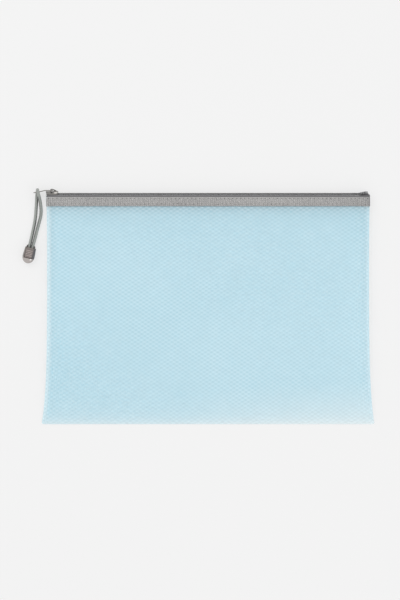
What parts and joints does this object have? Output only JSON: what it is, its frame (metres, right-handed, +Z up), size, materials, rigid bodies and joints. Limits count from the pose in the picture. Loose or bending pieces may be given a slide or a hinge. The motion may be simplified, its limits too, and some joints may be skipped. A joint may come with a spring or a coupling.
{
  "type": "mesh zipper pouch",
  "caption": "Flat translucent mesh vinyl pouch, folded at the bottom and welded at the sides, with a coil zipper on top, a metal slider and a corded pull tag.",
  "frame": {"origin": "on the table, under the middle of the pouch's back sheet", "axes": "+X along the zipper away from the closed slider, +Y in the plane of the pouch towards the zipper, +Z up from the table through the front sheet"},
  "size_m": [0.3591, 0.2406, 0.0131],
  "materials": {
    "vinyl": "satin, mesh-laminated vinyl",
    "tape": "woven polyester",
    "coil": "satin",
    "slider": "satin",
    "link": "polished",
    "cord": "braided",
    "tag": "satin"
  },
  "bodies": {
    "pouch": {"pouch_sheet": "vinyl", "front_tape": "tape", "front_tape_left": "tape", "front_tape_right": "tape", "back_tape": "tape", "back_tape_left": "tape", "back_tape_right": "tape", "front_coil": "coil", "back_coil": "coil", "front_core": "tape", "back_core": "tape"},
    "slider": {"slider_body": "slider", "slider_bail": "slider"},
    "puller": {"puller_link": "link"},
    "pull": {"pull_cord": "cord", "tag_shell": "tag", "tag_cover": "tag", "cord_knot": "cord"}
  },
  "joints": [
    {"name": "slider_slide", "type": "slide", "parent": "pouch", "child": "slider", "axis": [1, 0, 0], "range_m": [0, 0.3], "deforming": ["front_coil", "back_coil", "front_core", "back_core"]},
    {"name": "puller_swing", "type": "hinge", "parent": "slider", "child": "puller", "pos_m": [-0.15868, 0.12045, 0.00604], "axis": [0, 0, -1], "range_deg": [0, 180]},
    {"name": "cord_swing", "type": "hinge", "parent": "puller", "child": "pull", "pos_m": [-0.17368, 0.11887, 0.00604], "axis": [0, 0, 1], "range_deg": [-150, 6], "deforming": ["pull_cord"]}
  ]
}
